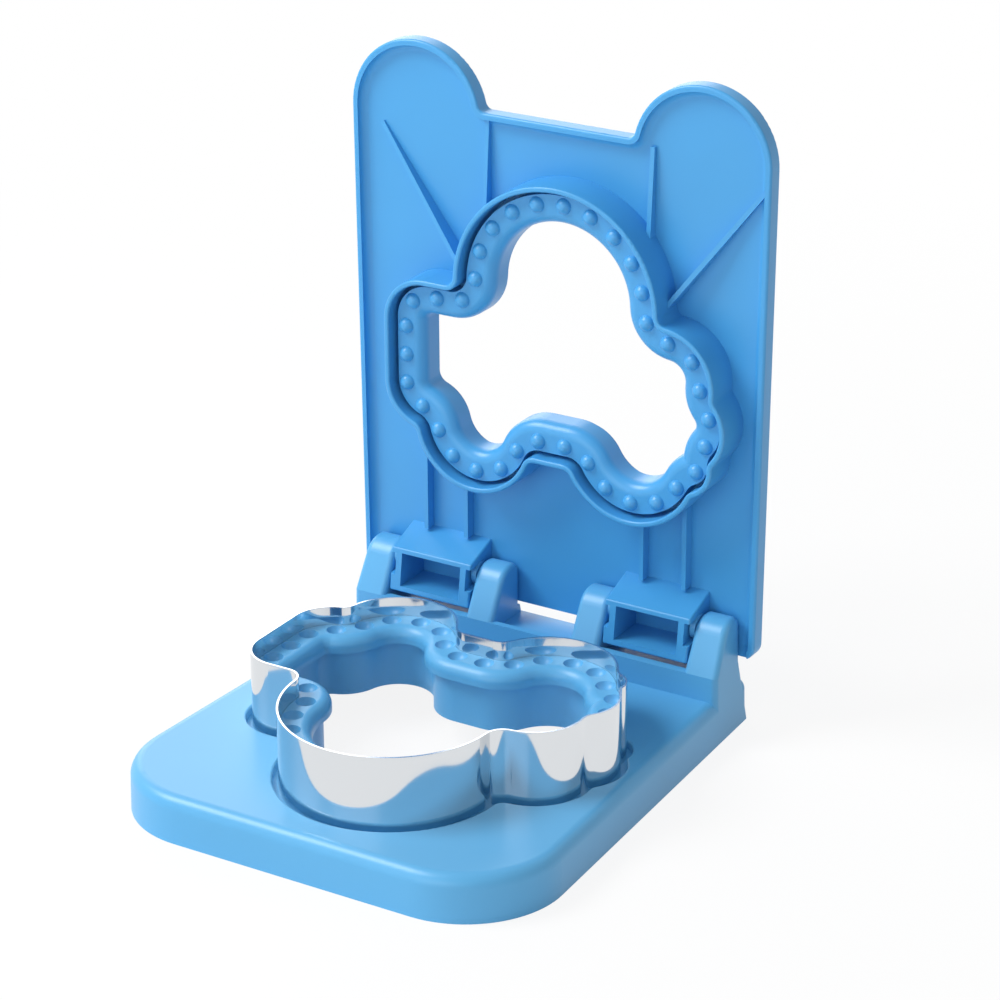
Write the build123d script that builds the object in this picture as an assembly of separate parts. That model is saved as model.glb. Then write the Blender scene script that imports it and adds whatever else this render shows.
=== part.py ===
from build123d import *
import math
import os

# A sandwich cutter and sealer. Bread and filling lie on a steel band shaped like a
# toy car; the hinged lid comes down, its ring pinches the edges together against a
# sleeve inside the band, and the band cuts the shape out.
# Sizes are in millimetres. X runs across, the hinge is at the back (+Y), Z is up,
# and the origin is under the middle of the part, on the floor.
# The tray is drawn where it stands. The lid is drawn closed, then swung open.

# Tray
TRAY_LENGTH = 129.0
TRAY_FRONT_WIDTH = 119.0
TRAY_REAR_WIDTH = 107.0
TRAY_HEIGHT = 11.9
TRAY_FRONT_CORNER = 25.0
TRAY_REAR_CORNER = 3.0
TRAY_EDGE_ROUND = 3.2
TRAY_DRAFT_ANGLE = 1.5
TRAY_WALL = 2.4
TRAY_PLATE = 2.2

# Hinge
HINGE_SETBACK = 10.3
LID_STANDOFF = 5.4
LID_OPEN_ANGLE = 90.0
REST_GAP = 0.3
PIVOT_RADIUS = 3.2
PIVOT_CLEARANCE = 0.06

# Rear bridge that carries the hinge posts
BRIDGE_DEPTH = 19.2
BRIDGE_BELOW_HINGE = 9.1
BRIDGE_WALL = 1.8
BRIDGE_ROOF = 2.2
WELL_CLEARANCE = 0.8
POST_ABOVE_HINGE = 3.4
POST_LEAN = 6.7
POST_FRONT_ROUND = 6.0
POST_REAR_ROUND = 3.0
POST_EDGE_ROUND = 1.5
INNER_POST_START = 11.3
INNER_POST_WIDTH = 8.3
OUTER_POST_WIDTH = 8.9

# Knuckle boxes on the lid, one between each pair of posts
KNUCKLE_GAP = 0.35
KNUCKLE_WALL = 1.6
KNUCKLE_CHEEK = 3.2
KNUCKLE_FRONT = 6.6
KNUCKLE_FRONT_LEAN = 1.6
KNUCKLE_BELOW = 8.0
KNUCKLE_ABOVE = 3.7
KNUCKLE_ROOF_RISE = 3.8
KNUCKLE_ROUND = 0.5
TRACK_DEPTH = 1.5
TRACK_NECK = 5.8
TRACK_DROP = 0.8

# Car outline, seen from above, as discs and blocks placed from the roof's centre.
# It is drawn at these sizes and shrunk as a whole if the margins would not be kept.
CAR_FRONT_MARGIN = 8.9
CAR_REAR_MARGIN = 16.3
CAR_SIDE_MARGIN = 4.1
ROOF_RADIUS = 29.2
ROOF_X = 4.3
REAR_WHEEL_RADIUS = 17.3
REAR_WHEEL_X = -23.6
REAR_WHEEL_Y = 38.9
FRONT_WHEEL_RADIUS = 19.3
FRONT_WHEEL_X = 21.7
FRONT_WHEEL_Y = 36.1
BONNET_RADIUS = 14.7
BONNET_X = 30.2
BONNET_Y = 15.8
LAMP_RADIUS = 12.3
LAMP_X = 35.8
LAMP_Y = 26.6
BUMPER_RADIUS = 8.1
BUMPER_X = 36.7
BUMPER_Y = 36.4
TRUNK_LEFT = -49.9
TRUNK_TOP = 1.4
TRUNK_BOTTOM = 42.0
TRUNK_CORNER = 12.0
SILL_Y = 44.3
NICK_ROUND = 2.5

# Press ring on the lid, worked inwards from the car outline
LIP_THICKNESS = 1.4
LIP_HEIGHT = 10.4
LIP_ROUND = 0.5
LIP_CLEARANCE = 0.4
GROOVE_CLEARANCE = 0.25
RING_WIDTH = 10.2
HOLE_STEP = 1.6
CRIMP_ROUND = 3.0
BUMP_COUNT = 36
BUMP_RADIUS = 2.1
BUMP_HEIGHT = 1.6
BUMP_FROM_GROOVE = 2.5

# Steel band and the sleeve inside it
BAND_THICKNESS = 0.5
BAND_TOP = 30.2
BAND_HEADROOM = 0.4
GROOVE_SKIN = 2.4
SLEEVE_FIT = 0.05
SLEEVE_BELOW_BAND = 5.0
SLEEVE_WALL = 1.8
SLEEVE_SKIN = 3.0
CRIMP_DROP = 4.2
CRIMP_OVERHANG = 2.2
SLEEVE_FLANGE = 1.2
FLANGE_OVERLAP = 2.0
FLANGE_FIT = 0.6
POCKET_GAP = 1.6
POCKET_ROUND = 0.6
CRIMP_GAP = 0.3
DIMPLE_CLEARANCE = 0.4
DIMPLE_DEEPER = 0.2

# Lid
LID_THICKNESS = 2.6
LID_TAIL = 8.4
LID_OVERHANG = 4.2
LID_TAIL_SIDE = 4.5
LID_TAIL_CORNER = 4.0
EAR_SET_BACK = 2.9
EAR_RADIUS = 18.8
EAR_SIDE_SET_IN = 0.3
EAR_NICK_ROUND = 2.0
RIM_WIDTH = 1.6
RIM_HEIGHT = 2.2
RIM_COVE = 2.0
LID_EDGE_ROUND = 0.7
POST_SIDE_ROOM = 0.5

# Ribs on the lid's inside
RIB_THICKNESS = 1.2
RIB_MIDDLE_X = 3.3
TOP_RIB_FROM_EAR = 17.1
TOP_RIB_TIP = 1.0
TOP_RIB_ROOT = 4.0
CORNER_RIB_FROM_SIDE = 4.7
CORNER_RIB_SET_BACK = 7.2
CORNER_RIB_ANGLE = 53.0
CORNER_RIB_TIP = 0.6
CORNER_RIB_ROOT = 5.5
LOW_RIB_SPREAD = 12.2
LOW_RIB_HEIGHT = 3.0

# How near two shapes must be to count as touching
NEAR = 0.01
NEAR_LOOP = 0.05

# Places that follow from the sizes above
TRAY_BACK = TRAY_LENGTH / 2
HINGE_Y = TRAY_BACK - HINGE_SETBACK
HINGE_HEIGHT = BAND_TOP + BAND_HEADROOM + GROOVE_SKIN - LID_STANDOFF
HINGE = Axis((0, HINGE_Y, HINGE_HEIGHT), (1, 0, 0))
LID_FACE = HINGE_HEIGHT + LID_STANDOFF
LID_BACK = LID_FACE + LID_THICKNESS
STOP_Y = HINGE_Y + LID_STANDOFF - REST_GAP
BRIDGE_FRONT = TRAY_BACK - BRIDGE_DEPTH
BRIDGE_HEIGHT = HINGE_HEIGHT - BRIDGE_BELOW_HINGE
POST_TOP = HINGE_HEIGHT + POST_ABOVE_HINGE
WELL_RADIUS = math.hypot(KNUCKLE_FRONT, KNUCKLE_BELOW) + WELL_CLEARANCE
INNER_POST_END = INNER_POST_START + INNER_POST_WIDTH
KNUCKLE_START = INNER_POST_END + KNUCKLE_GAP
OUTER_POST_START = TRAY_REAR_WIDTH / 2 - OUTER_POST_WIDTH
KNUCKLE_END = OUTER_POST_START - KNUCKLE_GAP
KNUCKLE_MIDDLE = (KNUCKLE_START + KNUCKLE_END) / 2
PLATE_UNDER = TRAY_HEIGHT - TRAY_PLATE
CAR_ROOM_Y = TRAY_LENGTH - BRIDGE_DEPTH - CAR_FRONT_MARGIN - CAR_REAR_MARGIN
CAR_ROOM_X = (TRAY_FRONT_WIDTH + TRAY_REAR_WIDTH) / 4 - CAR_SIDE_MARGIN - ROOF_X
CAR_SCALE = min(CAR_ROOM_Y / (ROOF_RADIUS + FRONT_WHEEL_Y + FRONT_WHEEL_RADIUS),
                CAR_ROOM_X / (LAMP_X + LAMP_RADIUS))
ROOF_Y = CAR_FRONT_MARGIN + CAR_SCALE * ROOF_RADIUS - TRAY_BACK
WHEELS_Y = ROOF_Y + CAR_SCALE * REAR_WHEEL_Y
BAND_INSET = LIP_THICKNESS + LIP_CLEARANCE
CRIMP_INSET = BAND_INSET + BAND_THICKNESS + GROOVE_CLEARANCE
SLEEVE_INSET = BAND_INSET + BAND_THICKNESS + SLEEVE_FIT
POCKET_INSET = BAND_INSET - POCKET_GAP
BUMP_INSET = CRIMP_INSET + BUMP_FROM_GROOVE
SLEEVE_TOP = BAND_TOP - SLEEVE_BELOW_BAND
CRIMP_FACE = SLEEVE_TOP + CRIMP_GAP
GROOVE_ROOF = BAND_TOP + BAND_HEADROOM
LID_TAIL_WIDTH = TRAY_REAR_WIDTH + 2 * LID_TAIL_SIDE
LID_REACH = TRAY_LENGTH - HINGE_SETBACK + LID_OVERHANG
EAR_REACH = LID_REACH - EAR_SET_BACK
EAR_X = TRAY_FRONT_WIDTH / 2 - EAR_RADIUS - EAR_SIDE_SET_IN
TALL = 4 * TRAY_LENGTH


def disc(x, y, radius):
    """A disc of the car outline, placed from the roof's centre."""
    return Pos(ROOF_X + CAR_SCALE * x, ROOF_Y + CAR_SCALE * y) * Circle(CAR_SCALE * radius)


def block(left, right, front, back, corner=0.0):
    """A block of the car outline between four lines, placed from the roof's centre."""
    width, depth = CAR_SCALE * (right - left), CAR_SCALE * (back - front)
    middle = Pos(ROOF_X + CAR_SCALE * (left + right) / 2,
                 ROOF_Y + CAR_SCALE * (front + back) / 2)
    if corner:
        return middle * RectangleRounded(width, depth, CAR_SCALE * corner)
    return middle * Rectangle(width, depth)


def draw_car():
    """The lip's outer outline with its inward nicks pushed out, ready to be inset."""
    car = disc(0, 0, ROOF_RADIUS)
    car += disc(REAR_WHEEL_X, REAR_WHEEL_Y, REAR_WHEEL_RADIUS)
    car += disc(FRONT_WHEEL_X, FRONT_WHEEL_Y, FRONT_WHEEL_RADIUS)
    car += disc(BONNET_X, BONNET_Y, BONNET_RADIUS)
    car += disc(LAMP_X, LAMP_Y, LAMP_RADIUS)
    car += disc(BUMPER_X, BUMPER_Y, BUMPER_RADIUS)
    car += block(TRUNK_LEFT, 0, TRUNK_TOP, TRUNK_BOTTOM, TRUNK_CORNER)
    car += block(REAR_WHEEL_X, LAMP_X, BONNET_Y, SILL_Y)
    return offset(car, NICK_ROUND)


CAR = draw_car()


def car_shape(inset):
    """The car outline moved inwards by inset, with its nicks rounded."""
    return offset(CAR, -(NICK_ROUND + inset))


def upright(shape, low, high):
    """A flat shape raised into a solid between two heights."""
    return Pos(0, 0, low) * extrude(shape, high - low)


def car_wall(outer_inset, inner_inset, low, high):
    """A wall that follows the car outline between two insets and two heights."""
    return upright(car_shape(outer_inset) - car_shape(inner_inset), low, high)


def bar(x_start, x_end, y_start, y_end, z_start, z_end):
    """A plain bar between two corners."""
    size = (x_end - x_start, y_end - y_start, z_end - z_start)
    middle = ((x_start + x_end) / 2, (y_start + y_end) / 2, (z_start + z_end) / 2)
    return Pos(*middle) * Box(*size)


def side_profile(points):
    """A closed outline in the side view, from (y, z) points."""
    return make_face(Plane.YZ * Polyline(*points, close=True))


def across(profile, start, end):
    """A side profile stretched across the part from one x to another."""
    return Pos(start, 0, 0) * extrude(profile, end - start, dir=(1, 0, 0))


def both_sides(solid):
    """A solid and its mirror image across the part's middle."""
    return [solid, mirror(solid, Plane.YZ)]


def edges_at(solid, height):
    """The edges of a solid that lie level at one height."""
    return solid.edges().filter_by_position(Axis.Z, height - NEAR, height + NEAR)


def loop_on(solid, height, shape):
    """The level edges of a solid at one height that lie on a flat shape's outline."""
    outline = shape.faces()[0].outer_wire()
    middles = {edge: edge @ 0.5 for edge in edges_at(solid, height)}
    return [edge for edge, middle in middles.items()
            if outline.distance_to(Vector(middle.X, middle.Y, 0)) < NEAR_LOOP]


def crimp_places():
    """Even places along the middle of the crimp, for bumps and dimples."""
    path = car_shape(BUMP_INSET).faces()[0].outer_wire()
    return [path @ (i / BUMP_COUNT) for i in range(BUMP_COUNT)]


def domes(height, radius, depth):
    """Shallow domes of one radius and depth that hang down from a height."""
    ball = (radius ** 2 + depth ** 2) / (2 * depth)
    centre = height + ball - depth
    return [Pos(place.X, place.Y, centre) * Sphere(ball) for place in crimp_places()]


def tray_sides(reach):
    """The floor between the tray's straight sides, run on to a reach in front and behind."""
    middle = (TRAY_FRONT_WIDTH + TRAY_REAR_WIDTH) / 4
    spread = (TRAY_FRONT_WIDTH - TRAY_REAR_WIDTH) / 4 * reach / TRAY_BACK
    front, rear = middle + spread, middle - spread
    corners = [(-front, -reach), (front, -reach), (rear, reach), (-rear, reach)]
    return make_face(Polyline(*corners, close=True))


def tray_outline():
    """The tray's outline on the floor, with broad front corners."""
    outline = tray_sides(TRAY_BACK)
    front_corners = outline.vertices().sort_by(Axis.Y)[:2]
    outline = fillet(front_corners, TRAY_FRONT_CORNER)
    rear_corners = outline.vertices().sort_by(Axis.Y)[-2:]
    return fillet(rear_corners, TRAY_REAR_CORNER)


def tray_shell():
    """The tray's plate and skirt, hollow from below, open where the car stands."""
    outline = tray_outline()
    shell = extrude(outline, TRAY_HEIGHT, taper=TRAY_DRAFT_ANGLE)
    shell = fillet(edges_at(shell, TRAY_HEIGHT), TRAY_EDGE_ROUND)
    shell -= extrude(offset(outline, -TRAY_WALL), PLATE_UNDER, taper=TRAY_DRAFT_ANGLE)
    pocket = car_shape(POCKET_INSET)
    shell -= upright(pocket, 0, TRAY_HEIGHT)
    return fillet(loop_on(shell, TRAY_HEIGHT, pocket), POCKET_ROUND)


def post_profile():
    """The side view of the bridge and its posts: leaning front, rounded top."""
    rear_knee = (STOP_Y, BRIDGE_HEIGHT)
    front_knee = (BRIDGE_FRONT, BRIDGE_HEIGHT)
    front_top = (BRIDGE_FRONT + POST_LEAN, POST_TOP)
    rear_top = (STOP_Y, POST_TOP)
    profile = side_profile([(BRIDGE_FRONT, 0), front_knee, front_top, rear_top,
                            rear_knee, (TRAY_BACK, 0)])
    front_top = profile.vertices().sort_by(Axis.Z)[-2:].sort_by(Axis.Y)[0]
    profile = fillet(front_top, POST_FRONT_ROUND)
    rear_top = profile.vertices().sort_by(Axis.Z)[-2:].sort_by(Axis.Y)[-1]
    return fillet(rear_top, POST_REAR_ROUND)


def rounded_post(post):
    """A post with its side edges rounded over the front, the top and the back."""
    left_sharp = post.edges().filter_by(Axis.X) + edges_at(post, 0)
    return fillet([edge for edge in post.edges() if edge not in left_sharp],
                  POST_EDGE_ROUND)


def bridge():
    """The raised rear block with four posts and a well for each knuckle box."""
    profile = post_profile()
    reach = OUTER_POST_START + POST_EDGE_ROUND
    low = across(profile, -reach, reach) & bar(-reach, reach, 0, TALL, 0, BRIDGE_HEIGHT)
    inner_post = across(profile, INNER_POST_START, INNER_POST_END)
    outer_post = across(profile, OUTER_POST_START, TRAY_FRONT_WIDTH / 2)
    outer_post &= extrude(tray_sides(TRAY_LENGTH), 2 * POST_TOP, taper=TRAY_DRAFT_ANGLE)
    posts = [rounded_post(post) for post in (inner_post, outer_post)]
    body = low + [solid for post in posts for solid in both_sides(post)]
    well = Pos(0, HINGE_Y, HINGE_HEIGHT) * Rot(0, 90, 0) * Cylinder(
        WELL_RADIUS, OUTER_POST_START - INNER_POST_END)
    well_middle = (OUTER_POST_START + INNER_POST_END) / 2
    body -= both_sides(Pos(well_middle, 0, 0) * well)
    ledge = HINGE_HEIGHT - WELL_RADIUS
    step = bar(-INNER_POST_START, INNER_POST_START, BRIDGE_FRONT + BRIDGE_WALL, TALL,
               ledge, POST_TOP)
    return body - step, ledge


def bridge_hollow(ledge):
    """The space under the bridge, a wall's thickness inside it."""
    roof = ledge - BRIDGE_ROOF
    slope = (TRAY_BACK - STOP_Y) / BRIDGE_HEIGHT
    back = TRAY_BACK - TRAY_WALL
    points = [(BRIDGE_FRONT + BRIDGE_WALL, 0), (BRIDGE_FRONT + BRIDGE_WALL, roof),
              (back - slope * roof, roof), (back, 0)]
    reach = TRAY_REAR_WIDTH / 2 - TRAY_WALL
    return across(side_profile(points), -reach, reach)


def pivots():
    """Short round stubs on the posts, facing into the tracks of the knuckles."""
    stub = Rot(0, 90, 0) * Cylinder(PIVOT_RADIUS, TRACK_DEPTH)
    places = [INNER_POST_END + TRACK_DEPTH / 2, OUTER_POST_START - TRACK_DEPTH / 2]
    stubs = [Pos(x, HINGE_Y, HINGE_HEIGHT) * stub for x in places]
    return stubs + [mirror(solid, Plane.YZ) for solid in stubs]


def base_tray():
    """The lower moulding: tray, bridge, posts and pivots."""
    body, ledge = bridge()
    hollow = bridge_hollow(ledge)
    return tray_shell() + body - hollow + pivots()


def cutter_band():
    """The steel hoop that cuts the bread."""
    return car_wall(BAND_INSET, BAND_INSET + BAND_THICKNESS, PLATE_UNDER, BAND_TOP)


def crimp_sleeve():
    """The inner sleeve: crimping face with dimples, and the flange under the band."""
    foot = PLATE_UNDER - SLEEVE_FLANGE
    sleeve = upright(car_shape(SLEEVE_INSET), foot, SLEEVE_TOP)
    flange = car_shape(POCKET_INSET - FLANGE_OVERLAP)
    flange &= offset(tray_outline(), -(TRAY_WALL + FLANGE_FIT))
    sleeve += upright(flange, foot, PLATE_UNDER)
    inside = car_shape(RING_WIDTH)
    sleeve -= upright(inside, foot, SLEEVE_TOP)
    sleeve = fillet(loop_on(sleeve, SLEEVE_TOP, inside), CRIMP_ROUND)
    wall = RING_WIDTH - CRIMP_OVERHANG
    sleeve -= upright(car_shape(wall), foot, SLEEVE_TOP - CRIMP_DROP)
    sleeve -= car_wall(SLEEVE_INSET + SLEEVE_WALL, wall - SLEEVE_WALL,
                       foot, SLEEVE_TOP - SLEEVE_SKIN)
    dimples = domes(0, BUMP_RADIUS + DIMPLE_CLEARANCE, BUMP_HEIGHT + DIMPLE_DEEPER)
    return sleeve - [Pos(0, 0, SLEEVE_TOP) * dimple for dimple in dimples]


def press_ring():
    """The lid's ring, drawn closed: lip outside the band, groove, crimp and bumps."""
    ring = car_wall(0, LIP_THICKNESS, LID_FACE - LIP_HEIGHT, LID_FACE)
    ring = fillet(edges_at(ring, LID_FACE - LIP_HEIGHT), LIP_ROUND)
    ring += car_wall(0, RING_WIDTH, GROOVE_ROOF, LID_FACE)
    inside = car_shape(RING_WIDTH)
    crimp = upright(car_shape(CRIMP_INSET), CRIMP_FACE, LID_FACE)
    crimp -= upright(inside, CRIMP_FACE, LID_FACE)
    crimp = fillet(loop_on(crimp, CRIMP_FACE, inside), CRIMP_ROUND)
    return ring + crimp + domes(CRIMP_FACE, BUMP_RADIUS, BUMP_HEIGHT)


def swing_open(solid):
    """A part of the lid, drawn closed, swung up to where it stands open."""
    return solid.rotate(HINGE, -LID_OPEN_ANGLE)


def lid_outline():
    """The closed lid from above: straight sides and tail, two round ears in front."""
    tail, ears = LID_TAIL_WIDTH / 2, EAR_X + EAR_RADIUS
    tail_y, ear_y = HINGE_Y + LID_TAIL, HINGE_Y - EAR_REACH
    corners = [(-ears, ear_y), (ears, ear_y), (tail, tail_y), (-tail, tail_y)]
    outline = make_face(Polyline(*corners, close=True))
    outline = fillet(outline.vertices().sort_by(Axis.Y)[-2:], LID_TAIL_CORNER)
    for x in (-EAR_X, EAR_X):
        outline += Pos(x, ear_y) * Circle(EAR_RADIUS)
    edge_y = HINGE_Y - LID_REACH
    outline += Pos(0, (edge_y + ear_y) / 2) * Rectangle(2 * EAR_X, ear_y - edge_y)
    return offset(offset(outline, EAR_NICK_ROUND), -EAR_NICK_ROUND)


def lid_plate():
    """The lid's plate with its raised rim, which stops beside the posts."""
    outline = lid_outline()
    low = LID_FACE - RIM_HEIGHT
    plate = upright(outline, low, LID_BACK)
    plate = fillet(edges_at(plate, low), LID_EDGE_ROUND)
    plate = fillet(edges_at(plate, LID_BACK), LID_EDGE_ROUND)
    recess = offset(outline, -RIM_WIDTH)
    post_reach = TRAY_REAR_WIDTH / 2 + POST_SIDE_ROOM + RIM_COVE
    tail_y = HINGE_Y + LID_TAIL
    recess += Pos(0, tail_y) * Rectangle(2 * post_reach, 2 * LID_TAIL)
    hollow = upright(recess, low - RIM_HEIGHT, LID_FACE)
    hollow = fillet(edges_at(hollow, LID_FACE), RIM_COVE)
    return plate - hollow - upright(car_shape(RING_WIDTH - HOLE_STEP), low, LID_BACK)


def rib(start, end, tip, root):
    """A thin rib under the closed lid, from a low tip to a taller root."""
    length = math.dist(start, end)
    points = [(0, 0), (length, 0), (length, -root), (0, -tip)]
    wedge = extrude(make_face(Plane.XZ * Polyline(*points, close=True)),
                    RIB_THICKNESS / 2, both=True)
    turn = math.degrees(math.atan2(end[1] - start[1], end[0] - start[0]))
    return Pos(start[0], start[1], LID_FACE) * Rot(0, 0, turn) * wedge


def ribs():
    """Ribs from the rim and from the knuckles to the ring, trimmed at its wall."""
    edge_y = HINGE_Y - LID_REACH + RIM_WIDTH
    corner_y = HINGE_Y - LID_REACH + CORNER_RIB_SET_BACK
    corner_x = EAR_X + EAR_RADIUS - CORNER_RIB_FROM_SIDE
    made = []
    for side in (-1, 1):
        x = RIB_MIDDLE_X + side * (EAR_X - TOP_RIB_FROM_EAR)
        made.append(rib((x, edge_y), (x, ROOF_Y), TOP_RIB_TIP, TOP_RIB_ROOT))
        corner = (RIB_MIDDLE_X + side * corner_x, corner_y)
        slant = math.radians(CORNER_RIB_ANGLE)
        end = (corner[0] - side * ROOF_RADIUS, corner[1] + ROOF_RADIUS * math.tan(slant))
        made.append(rib(corner, end, CORNER_RIB_TIP, CORNER_RIB_ROOT))
        roof_y = HINGE_Y - KNUCKLE_ABOVE - KNUCKLE_ROOF_RISE
        for offset_x in (-LOW_RIB_SPREAD / 2, LOW_RIB_SPREAD / 2):
            x = side * KNUCKLE_MIDDLE + offset_x
            made.append(rib((x, roof_y), (x, WHEELS_Y), LOW_RIB_HEIGHT, LOW_RIB_HEIGHT))
    keep_out = upright(car_shape(0), 0, TALL)
    return [solid - keep_out for solid in made]


def lid_panel():
    """The lid's plate, rim and ribs, standing open."""
    return swing_open(lid_plate() + ribs())


def knuckle_profile(inset):
    """The knuckle box's side view, standing open; inset makes its hollow, open in front."""
    floor = HINGE_HEIGHT - KNUCKLE_BELOW + inset
    front_top = HINGE_HEIGHT + KNUCKLE_ABOVE - inset
    front = HINGE_Y - KNUCKLE_FRONT - inset
    back = HINGE_Y + LID_STANDOFF
    points = [(back, floor), (front, floor), (front + KNUCKLE_FRONT_LEAN, front_top),
              (back, front_top + KNUCKLE_ROOF_RISE)]
    return side_profile(points)


def track(x_start, x_end):
    """The open slot in a cheek that snaps over a pivot."""
    middle = (x_start + x_end) / 2
    radius = PIVOT_RADIUS + PIVOT_CLEARANCE
    bore = Pos(middle, HINGE_Y, HINGE_HEIGHT) * Rot(0, 90, 0) * Cylinder(
        radius, x_end - x_start)
    mouth = HINGE_Y - KNUCKLE_FRONT - TRACK_DEPTH
    drop = TRACK_DROP
    half = TRACK_NECK / 2
    points = [(mouth, HINGE_HEIGHT - drop - half), (mouth, HINGE_HEIGHT - drop + half),
              (HINGE_Y, HINGE_HEIGHT + half), (HINGE_Y, HINGE_HEIGHT - half)]
    return bore + across(side_profile(points), x_start, x_end)


def hinge_knuckle():
    """One knuckle box: open in front, with a track in each cheek."""
    box = across(knuckle_profile(0), KNUCKLE_START, KNUCKLE_END)
    back = HINGE_Y + LID_STANDOFF
    box = fillet([edge for edge in box.edges() if (edge @ 0.5).Y < back - NEAR],
                 KNUCKLE_ROUND)
    box -= across(knuckle_profile(KNUCKLE_WALL), KNUCKLE_START + KNUCKLE_CHEEK,
                  KNUCKLE_END - KNUCKLE_CHEEK)
    box -= track(KNUCKLE_START, KNUCKLE_START + TRACK_DEPTH)
    return box - track(KNUCKLE_END - TRACK_DEPTH, KNUCKLE_END)


def write(name, shape):
    """One sub-part written to its own file."""
    export_step(shape, f"parts/{name}.step")


def main():
    os.makedirs("parts", exist_ok=True)
    write("base_tray", base_tray())
    write("cutter_band", cutter_band())
    write("crimp_sleeve", crimp_sleeve())
    write("press_ring", swing_open(press_ring()))
    write("lid_panel", lid_panel())
    right_knuckle = hinge_knuckle()
    write("hinge_knuckle_right", right_knuckle)
    write("hinge_knuckle_left", mirror(right_knuckle, Plane.YZ))


main()
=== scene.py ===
"""Looks for a sandwich cutter and sealer: blue moulded plastic, a polished steel band,
a pale studio floor and a camera at the photograph's angle."""

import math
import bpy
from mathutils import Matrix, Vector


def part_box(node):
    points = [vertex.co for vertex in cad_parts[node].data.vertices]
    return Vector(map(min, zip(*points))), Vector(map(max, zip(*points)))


bl_info = {
    "name": "Sandwich cutter looks",
    "version": (1, 0, 0),
    "blender": (4, 5, 0),
    "location": "3D View > Sidebar > Sandwich cutter",
    "description": "Finishes the plastic mouldings and the steel band, and sets the studio",
    "category": "Object",
}

import bpy
from bpy.props import FloatProperty, FloatVectorProperty, PointerProperty
from mathutils import Matrix, Vector

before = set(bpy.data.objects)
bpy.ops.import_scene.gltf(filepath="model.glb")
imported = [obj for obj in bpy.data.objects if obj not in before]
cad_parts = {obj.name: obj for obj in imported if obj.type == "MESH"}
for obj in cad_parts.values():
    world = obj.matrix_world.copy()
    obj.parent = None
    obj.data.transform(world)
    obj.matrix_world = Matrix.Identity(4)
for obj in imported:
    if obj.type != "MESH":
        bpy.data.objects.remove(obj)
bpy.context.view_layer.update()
MM = 0.001

POLYPROPYLENE_IOR = 1.49
WHITE = (1, 1, 1, 1)
# Camera sensor's width in millimetres, which the lens is given for.
SENSOR_WIDTH = 36
# How far the roughness strays below and above the one that is set.
PLASTIC_SPREAD = (0.04, 0.06)
STEEL_SPREAD = (0.02, 0.03)
# How strongly each relief shows, from 0 to 1.
GRAIN_STRENGTH = 0.2
PEEL_STRENGTH = 0.6
LINE_STRENGTH = 0.12
WAVE_STRENGTH = 0.5
# A Mix node has its sockets once for each kind of value. These are its colour ones.
MIX_A = 6
MIX_B = 7
MIX_RESULT = 2


def linear(hex_text):
    """An sRGB colour such as "#4fa3e5" as three linear numbers."""
    parts = [int(hex_text[i:i + 2], 16) / 255 for i in (1, 3, 5)]
    return [c / 12.92 if c <= 0.04045 else ((c + 0.055) / 1.055) ** 2.4 for c in parts]


class PlasticLook(bpy.types.PropertyGroup):
    """Injection-moulded polypropylene, as on the tray, sleeve, lid, ring and knuckles."""

    lid_colour: FloatVectorProperty(
        name="Lid colour", description="Colour of the lid, its ring and its knuckles",
        subtype="COLOR", min=0, max=1, default=linear("#449bd5"))
    # Painted sheen: the tray and sleeve are the lid's plastic, made paler and greyer here to
    # stand in for the white sheen on their top faces.
    tray_colour_with_painted_sheen: FloatVectorProperty(
        name="Tray colour", description="Slightly paler colour of the tray and the sleeve",
        subtype="COLOR", min=0, max=1, default=linear("#57a6d7"))
    streak_size: FloatProperty(
        name="Streak size", description="Width of the slow colour changes along the flow",
        unit="LENGTH", default=26 * MM)
    streak_lift: FloatProperty(
        name="Streak lift", description="How many times brighter it is where pigment thins",
        min=1, max=2, default=1.1)
    roughness: FloatProperty(
        name="Roughness", description="How dull the mould's polish leaves the plastic",
        subtype="FACTOR", min=0, max=1, default=0.34)
    sleeve_dulling: FloatProperty(
        name="Sleeve dulling", description="How much rougher the sleeve is than the rest",
        min=0, max=1, default=0.03)
    ring_polish: FloatProperty(
        name="Ring polish", description="How much smoother the ring is than the rest",
        min=0, max=1, default=0.02)
    peel_size: FloatProperty(
        name="Peel size", description="Width of the soft dimples left by cooling",
        unit="LENGTH", default=2.4 * MM)
    peel_depth: FloatProperty(
        name="Peel depth", description="Depth of the soft dimples left by cooling",
        unit="LENGTH", default=0.012 * MM)
    grain_size: FloatProperty(
        name="Grain size", description="Width of the mould's fine texture",
        unit="LENGTH", default=0.35 * MM)
    grain_depth: FloatProperty(
        name="Grain depth", description="Depth of the mould's fine texture",
        unit="LENGTH", default=0.003 * MM)


class SteelLook(bpy.types.PropertyGroup):
    """Bright-rolled stainless strip, as on the cutter band."""

    colour: FloatVectorProperty(
        name="Colour", description="Reflected colour of the strip",
        subtype="COLOR", min=0, max=1, default=linear("#dcdfe2"))
    roughness: FloatProperty(
        name="Roughness", description="Haze left by the bright rolling",
        subtype="FACTOR", min=0, max=1, default=0.07)
    line_size: FloatProperty(
        name="Rolling line", description="Spacing of the faint lines along the strip",
        unit="LENGTH", default=0.5 * MM)
    line_length: FloatProperty(
        name="Line length", description="Length of those faint lines",
        unit="LENGTH", default=25 * MM)
    line_depth: FloatProperty(
        name="Line depth", description="Depth of those faint lines",
        unit="LENGTH", default=0.002 * MM)
    wave_size: FloatProperty(
        name="Forming wave", description="Length of the slow waves left by bending the strip",
        unit="LENGTH", default=14 * MM)
    wave_depth: FloatProperty(
        name="Wave depth", description="Depth of those slow waves",
        unit="LENGTH", default=0.02 * MM)
    edge_height: FloatProperty(
        name="Ground edge", description="Height of the sharpened edge at the top of the strip",
        unit="LENGTH", default=0.5 * MM)
    edge_dulling: FloatProperty(
        name="Edge dulling", description="How much rougher the sharpened edge is",
        min=0, max=1, default=0.12)


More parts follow.
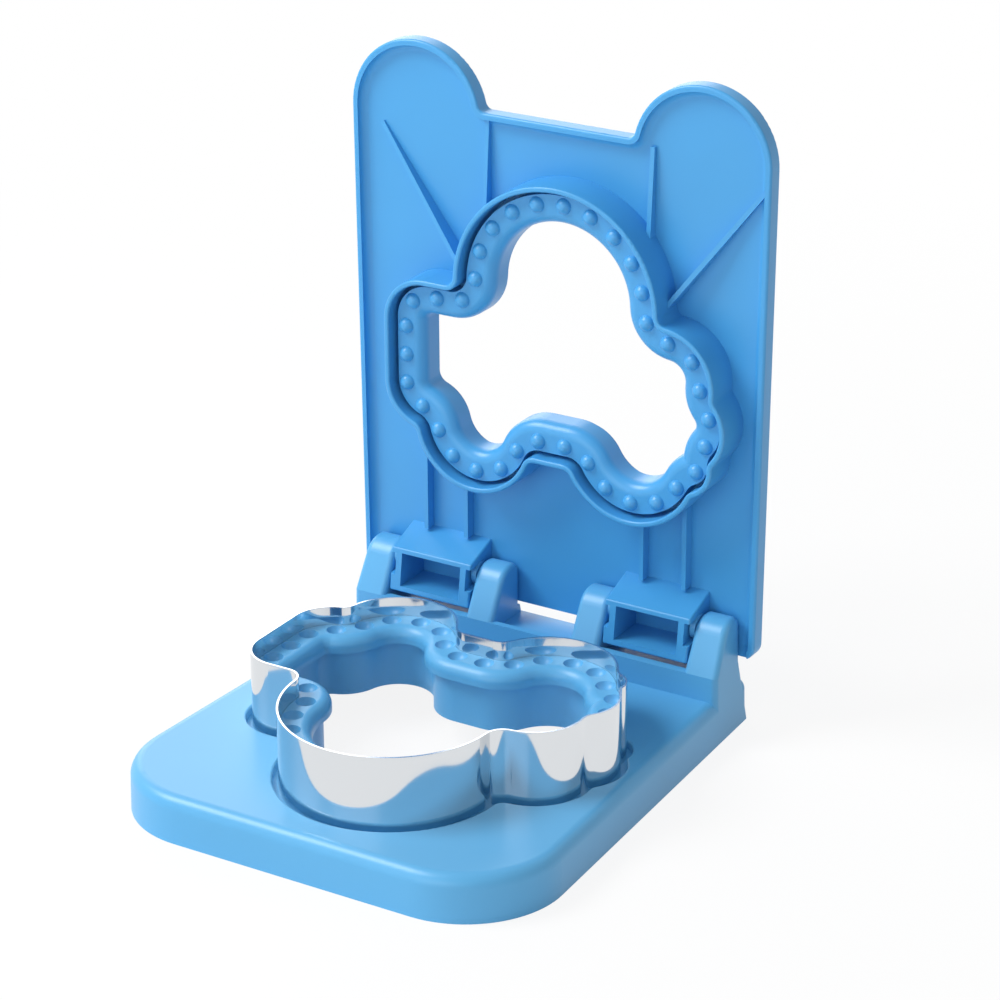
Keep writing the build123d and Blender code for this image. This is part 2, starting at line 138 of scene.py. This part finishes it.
class StudioLook(bpy.types.PropertyGroup):
    """Floor, lamps and the camera at the photograph's angle."""

    floor_colour: FloatVectorProperty(
        name="Floor", description="Colour of the pale floor",
        subtype="COLOR", min=0, max=1, default=linear("#f4f5f6"))
    floor_size: FloatProperty(
        name="Floor size", description="Width of the square floor",
        unit="LENGTH", default=6.0)
    white_share: FloatProperty(
        name="White share", description="How much of the floor is plain white to the camera",
        subtype="FACTOR", min=0, max=1, default=0.88)
    shadow_reach: FloatProperty(
        name="Shadow reach", description="Distance where the floor has turned plain white",
        unit="LENGTH", default=0.5)
    fade_start: FloatProperty(
        name="Fade start", description="Share of that distance where the turn to white starts",
        subtype="FACTOR", min=0, max=1, default=1 / 3)
    sky: FloatProperty(
        name="Sky strength", description="Soft light from all around", min=0, default=0.42)
    key_power: FloatProperty(
        name="Key lamp", description="Power of the lamp high at the left",
        unit="POWER", min=0, default=9.0)
    key_size: FloatProperty(
        name="Key lamp's size", description="Width of that square lamp",
        unit="LENGTH", default=0.5)
    key_place: FloatVectorProperty(
        name="Key lamp's place", description="Where its middle is",
        subtype="XYZ", unit="LENGTH", default=(-0.6, -0.35, 0.85))
    back_power: FloatProperty(
        name="Back lamp", description="Power of the large lamp behind at the left",
        unit="POWER", min=0, default=5.5)
    back_size: FloatProperty(
        name="Back lamp's size", description="Width of that square lamp",
        unit="LENGTH", default=1.0)
    back_place: FloatVectorProperty(
        name="Back lamp's place", description="Where its middle is",
        subtype="XYZ", unit="LENGTH", default=(-0.9, 1.0, 0.55))
    fill_power: FloatProperty(
        name="Fill lamp", description="Power of the large lamp low in front",
        unit="POWER", min=0, default=4.6)
    fill_size: FloatProperty(
        name="Fill lamp's size", description="Width of that square lamp",
        unit="LENGTH", default=1.0)
    fill_place: FloatVectorProperty(
        name="Fill lamp's place", description="Where its middle is",
        subtype="XYZ", unit="LENGTH", default=(-0.1, -1.2, 0.35))
    lamp_aim: FloatVectorProperty(
        name="Lamps' aim", description="The point in the object that the lamps face",
        subtype="XYZ", unit="LENGTH", default=(0, 0, 50 * MM))
    azimuth: FloatProperty(
        name="Azimuth", description="Camera's angle round the object, from straight in front",
        subtype="ANGLE", default=math.radians(31.24))
    elevation: FloatProperty(
        name="Elevation", description="Camera's angle above the floor",
        subtype="ANGLE", default=math.radians(23.22))
    roll: FloatProperty(
        name="Roll", description="Camera's tilt about its own view",
        subtype="ANGLE", default=math.radians(-0.27))
    distance: FloatProperty(
        name="Distance", description="From the camera to the point it looks at",
        unit="LENGTH", default=831.2 * MM)
    aim: FloatVectorProperty(
        name="Camera's aim", description="The point in the object that the camera looks at",
        subtype="XYZ", unit="LENGTH", default=(2.2 * MM, 27.3 * MM, 62.8 * MM))
    lens: FloatProperty(
        name="Lens", description="Focal length in millimetres",
        unit="CAMERA", min=1, default=121.3)


def node(tree, kind, settings=None, links=None):
    """Adds a node. Settings are its sockets or attributes, and links are the sockets it
    takes from others. A socket goes by its name, or by its place where names repeat."""
    made = tree.nodes.new(kind)
    for name, value in (settings or {}).items():
        if isinstance(name, int) or name in made.inputs:
            made.inputs[name].default_value = value
        else:
            setattr(made, name, value)
    for name, source in (links or {}).items():
        tree.links.new(source, made.inputs[name])
    return made


def blank_material(name):
    """A material and its node tree, which is still empty."""
    material = bpy.data.materials.new(name)
    material.use_nodes = True
    material.node_tree.nodes.clear()
    return material, material.node_tree


def moulded_polypropylene(name, look, pigment, dulling=0.0):
    """Polypropylene moulded in a semi-polished tool. The eye sees a clear, saturated blue
    with a soft, wide highlight that breaks up slightly over shallow cooling dimples."""
    # The pigment given is the plastic's own blue for the lid, ring and knuckles, and carries
    # painted sheen for the tray and sleeve.
    material, tree = blank_material(name)
    place = node(tree, "ShaderNodeTexCoord").outputs["Object"]
    # Pigment thins a little where the melt ran far from the gate.
    streaks = node(tree, "ShaderNodeTexNoise",
                   {"Scale": 1 / look.streak_size, "Detail": 2.0, "Roughness": 0.4},
                   {"Vector": place})
    thinned = [min(1, c * look.streak_lift) for c in pigment]
    colour = node(tree, "ShaderNodeMix",
                  {"data_type": "RGBA", MIX_A: (*pigment, 1), MIX_B: (*thinned, 1)},
                  {"Factor": streaks.outputs["Fac"]})
    # Shallow dimples where the skin cooled before the core.
    peel = node(tree, "ShaderNodeTexNoise",
                {"Scale": 1 / look.peel_size, "Detail": 1.0},
                {"Vector": place})
    # The mould's own texture is near 0.03 mm, and is drawn coarser so that it shows.
    grain = node(tree, "ShaderNodeTexNoise",
                 {"Scale": 1 / look.grain_size, "Detail": 2.0, "Roughness": 0.6},
                 {"Vector": place})
    level = look.roughness + dulling
    below, above = PLASTIC_SPREAD
    roughness = node(tree, "ShaderNodeMapRange",
                     {"To Min": level - below, "To Max": level + above},
                     {"Value": grain.outputs["Fac"]})
    fine = node(tree, "ShaderNodeBump",
                {"Strength": GRAIN_STRENGTH, "Distance": look.grain_depth},
                {"Height": grain.outputs["Fac"]})
    soft = node(tree, "ShaderNodeBump",
                {"Strength": PEEL_STRENGTH, "Distance": look.peel_depth},
                {"Height": peel.outputs["Fac"], "Normal": fine.outputs["Normal"]})
    shader = node(tree, "ShaderNodeBsdfPrincipled", {"IOR": POLYPROPYLENE_IOR},
                  {"Base Color": colour.outputs[MIX_RESULT],
                   "Roughness": roughness.outputs["Result"],
                   "Normal": soft.outputs["Normal"]})
    node(tree, "ShaderNodeOutputMaterial", links={"Surface": shader.outputs["BSDF"]})
    return material


def bright_rolled_stainless(name, look, top):
    """Stainless strip, bright rolled and bent to shape. The eye sees a near-mirror that
    slowly bends what it reflects, faint lines along the strip and a hazier ground edge.
    The strip's top is at the height given."""
    material, tree = blank_material(name)
    place = node(tree, "ShaderNodeTexCoord").outputs["Object"]
    # Rolling lines are near 0.02 mm apart, and are drawn coarser so that they show.
    along = look.line_size / look.line_length
    drawn_out = node(tree, "ShaderNodeMapping",
                     {"Scale": (along, along, 1.0)},
                     {"Vector": place})
    lines = node(tree, "ShaderNodeTexNoise",
                 {"Scale": 1 / look.line_size, "Detail": 2.0},
                 {"Vector": drawn_out.outputs["Vector"]})
    # Slow waves left by bending the strip round its former.
    waves = node(tree, "ShaderNodeTexNoise",
                 {"Scale": 1 / look.wave_size, "Detail": 1.0},
                 {"Vector": place})
    below, above = STEEL_SPREAD
    haze = node(tree, "ShaderNodeMapRange",
                {"To Min": look.roughness - below, "To Max": look.roughness + above},
                {"Value": lines.outputs["Fac"]})
    # The cutting edge is ground, so it is duller than the strip, fully so in its top half.
    height = node(tree, "ShaderNodeSeparateXYZ", links={"Vector": place})
    edge = node(tree, "ShaderNodeMapRange",
                {"From Min": top - look.edge_height, "From Max": top - look.edge_height / 2,
                 "To Min": 0.0, "To Max": look.edge_dulling},
                {"Value": height.outputs["Z"]})
    roughness = node(tree, "ShaderNodeMath", {"operation": "ADD"},
                     {0: haze.outputs["Result"], 1: edge.outputs["Result"]})
    rolled = node(tree, "ShaderNodeBump",
                  {"Strength": LINE_STRENGTH, "Distance": look.line_depth},
                  {"Height": lines.outputs["Fac"]})
    formed = node(tree, "ShaderNodeBump",
                  {"Strength": WAVE_STRENGTH, "Distance": look.wave_depth},
                  {"Height": waves.outputs["Fac"], "Normal": rolled.outputs["Normal"]})
    shader = node(tree, "ShaderNodeBsdfPrincipled",
                  {"Base Color": (*look.colour, 1), "Metallic": 1.0},
                  {"Roughness": roughness.outputs["Value"],
                   "Normal": formed.outputs["Normal"]})
    node(tree, "ShaderNodeOutputMaterial", links={"Surface": shader.outputs["BSDF"]})
    return material


def dress(name, material):
    """Gives a CAD node one material over its whole mesh."""
    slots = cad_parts[name].data.materials
    slots.clear()
    slots.append(material)


class SANDWICH_OT_tray(bpy.types.Operator):
    """Finish the lower moulding: tray, bridge and hinge posts"""

    bl_idname = "sandwich.tray"
    bl_label = "Tray"

    def execute(self, context):
        look = context.scene.sandwich_plastic
        # Its colour carries painted sheen for the tray's top faces.
        dress("base_tray", moulded_polypropylene(
            "polypropylene_moulded_tray_painted_sheen", look, look.tray_colour_with_painted_sheen))
        return {"FINISHED"}


class SANDWICH_OT_sleeve(bpy.types.Operator):
    """Finish the crimping sleeve inside the band"""

    bl_idname = "sandwich.sleeve"
    bl_label = "Crimping sleeve"

    def execute(self, context):
        look = context.scene.sandwich_plastic
        # Its colour carries painted sheen for the sleeve's top.
        dress("crimp_sleeve", moulded_polypropylene(
            "polypropylene_moulded_sleeve_painted_sheen", look, look.tray_colour_with_painted_sheen, look.sleeve_dulling))
        return {"FINISHED"}


class SANDWICH_OT_band(bpy.types.Operator):
    """Finish the steel cutter band"""

    bl_idname = "sandwich.band"
    bl_label = "Cutter band"

    def execute(self, context):
        lowest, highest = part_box("cutter_band")
        dress("cutter_band", bright_rolled_stainless(
            "stainless_bright_rolled_band", context.scene.sandwich_steel, highest.z))
        return {"FINISHED"}


class SANDWICH_OT_lid(bpy.types.Operator):
    """Finish the lid's plate, rim and ribs"""

    bl_idname = "sandwich.lid"
    bl_label = "Lid"

    def execute(self, context):
        look = context.scene.sandwich_plastic
        dress("lid_panel", moulded_polypropylene(
            "polypropylene_moulded_lid", look, look.lid_colour))
        return {"FINISHED"}


class SANDWICH_OT_ring(bpy.types.Operator):
    """Finish the press ring on the lid"""

    bl_idname = "sandwich.ring"
    bl_label = "Press ring"

    def execute(self, context):
        look = context.scene.sandwich_plastic
        dress("press_ring", moulded_polypropylene(
            "polypropylene_moulded_ring", look, look.lid_colour, -look.ring_polish))
        return {"FINISHED"}


class SANDWICH_OT_knuckles(bpy.types.Operator):
    """Finish the two knuckle boxes"""

    bl_idname = "sandwich.knuckles"
    bl_label = "Knuckle boxes"

    def execute(self, context):
        look = context.scene.sandwich_plastic
        material = moulded_polypropylene(
            "polypropylene_moulded_knuckles", look, look.lid_colour)
        for name in ("hinge_knuckle_left", "hinge_knuckle_right"):
            dress(name, material)
        return {"FINISHED"}


def seen_directly(tree):
    """A socket that is 1 for what is seen straight, in a mirror or through glass, and 0
    for what only gives light."""
    path = node(tree, "ShaderNodeLightPath")
    seen = path.outputs["Is Camera Ray"]
    for ray in ("Is Glossy Ray", "Is Transmission Ray"):
        either = node(tree, "ShaderNodeMath", {"operation": "MAXIMUM"},
                      {0: seen, 1: path.outputs[ray]})
        seen = either.outputs["Value"]
    return seen


def matt_paint(look):
    """Matt paint on a pale floor. The eye sees it nearly white near the object, with a soft
    shadow, and plain white further off."""
    material, tree = blank_material("matt_painted_floor")
    matt = node(tree, "ShaderNodeBsdfDiffuse", {"Color": (*look.floor_colour, 1)})
    glow = node(tree, "ShaderNodeEmission", {"Color": WHITE, "Strength": 1.0})
    place = node(tree, "ShaderNodeTexCoord").outputs["Object"]
    reach = node(tree, "ShaderNodeVectorMath", {"operation": "LENGTH"}, {"Vector": place})
    whiter = node(tree, "ShaderNodeMapRange",
                  {"From Min": look.shadow_reach * look.fade_start,
                   "From Max": look.shadow_reach,
                   "To Min": look.white_share, "To Max": 1.0},
                  {"Value": reach.outputs["Value"]})
    share = node(tree, "ShaderNodeMath", {"operation": "MULTIPLY"},
                 {0: seen_directly(tree), 1: whiter.outputs["Result"]})
    mixed = node(tree, "ShaderNodeMixShader",
                 links={"Fac": share.outputs["Value"],
                        1: matt.outputs["BSDF"], 2: glow.outputs["Emission"]})
    node(tree, "ShaderNodeOutputMaterial", links={"Surface": mixed.outputs["Shader"]})
    return material


def make_floor(look):
    """The floor that the tray stands on."""
    half = look.floor_size / 2
    corners = [(-half, -half, 0), (half, -half, 0), (half, half, 0), (-half, half, 0)]
    mesh = bpy.data.meshes.new("floor")
    mesh.from_pydata(corners, [], [(0, 1, 2, 3)])
    mesh.materials.append(matt_paint(look))
    floor = bpy.data.objects.new("floor", mesh)
    bpy.context.scene.collection.objects.link(floor)


def make_sky(look):
    """Soft light from all around, plain white where it is seen directly."""
    world = bpy.data.worlds.new("studio")
    bpy.context.scene.world = world
    world.use_nodes = True
    tree = world.node_tree
    tree.nodes.clear()
    strength = node(tree, "ShaderNodeMapRange", {"To Min": look.sky, "To Max": 1.0},
                    {"Value": seen_directly(tree)})
    light = node(tree, "ShaderNodeBackground", {"Color": WHITE},
                 {"Strength": strength.outputs["Result"]})
    node(tree, "ShaderNodeOutputWorld", links={"Surface": light.outputs["Background"]})


def make_lamp(name, power, size, place, aim):
    """A square lamp at a place, turned to a point."""
    data = bpy.data.lights.new(name, "AREA")
    data.energy = power
    data.shape = "SQUARE"
    data.size = size
    lamp = bpy.data.objects.new(name, data)
    lamp.location = place
    towards = Vector(aim) - Vector(place)
    lamp.rotation_euler = towards.to_track_quat("-Z", "Y").to_euler()
    bpy.context.scene.collection.objects.link(lamp)


def make_camera(look):
    """The camera at the photograph's angle."""
    azimuth, elevation, roll = look.azimuth, look.elevation, look.roll
    back = Vector((math.sin(azimuth) * math.cos(elevation),
                   -math.cos(azimuth) * math.cos(elevation),
                   math.sin(elevation)))
    level = Vector((math.cos(azimuth), math.sin(azimuth), 0))
    upright = back.cross(level)
    right = level * math.cos(roll) + upright * math.sin(roll)
    up = upright * math.cos(roll) - level * math.sin(roll)
    data = bpy.data.cameras.new("camera")
    data.lens = look.lens
    data.sensor_width = SENSOR_WIDTH
    camera = bpy.data.objects.new("camera", data)
    turn = Matrix((right, up, back)).transposed().to_4x4()
    camera.matrix_world = Matrix.Translation(Vector(look.aim) + back * look.distance) @ turn
    bpy.context.scene.collection.objects.link(camera)
    bpy.context.scene.camera = camera


class SANDWICH_OT_studio(bpy.types.Operator):
    """Set the camera, the floor and the lamps"""

    bl_idname = "sandwich.studio"
    bl_label = "Studio"

    def execute(self, context):
        look = context.scene.sandwich_studio
        make_camera(look)
        make_floor(look)
        make_sky(look)
        make_lamp("key", look.key_power, look.key_size, look.key_place, look.lamp_aim)
        make_lamp("back", look.back_power, look.back_size, look.back_place, look.lamp_aim)
        make_lamp("fill", look.fill_power, look.fill_size, look.fill_place, look.lamp_aim)
        context.scene.view_settings.view_transform = "Standard"
        return {"FINISHED"}


class SANDWICH_PT_panel(bpy.types.Panel):
    """Lists the stage and the pieces, then their colours and sizes"""

    bl_idname = "SANDWICH_PT_panel"
    bl_label = "Sandwich cutter"
    bl_space_type = "VIEW_3D"
    bl_region_type = "UI"
    bl_category = "Sandwich cutter"

    def draw(self, context):
        for operator in OPERATORS:
            self.layout.operator(operator.bl_idname)
        for name, kind in LOOKS.items():
            box = self.layout.box()
            for setting in kind.__annotations__:
                box.prop(getattr(context.scene, name), setting)


OPERATORS = (SANDWICH_OT_studio, SANDWICH_OT_tray, SANDWICH_OT_sleeve, SANDWICH_OT_band,
             SANDWICH_OT_lid, SANDWICH_OT_ring, SANDWICH_OT_knuckles)
LOOKS = {"sandwich_plastic": PlasticLook, "sandwich_steel": SteelLook,
         "sandwich_studio": StudioLook}


def register():
    for kind in (*LOOKS.values(), *OPERATORS, SANDWICH_PT_panel):
        bpy.utils.register_class(kind)
    for name, kind in LOOKS.items():
        setattr(bpy.types.Scene, name, PointerProperty(type=kind))


def unregister():
    for name in LOOKS:
        delattr(bpy.types.Scene, name)
    for kind in (SANDWICH_PT_panel, *reversed(OPERATORS), *LOOKS.values()):
        bpy.utils.unregister_class(kind)


def main():
    register()
    bpy.ops.sandwich.studio()
    bpy.ops.sandwich.tray()
    bpy.ops.sandwich.sleeve()
    bpy.ops.sandwich.band()
    bpy.ops.sandwich.lid()
    bpy.ops.sandwich.ring()
    bpy.ops.sandwich.knuckles()


if __name__ == "__main__":
    main()
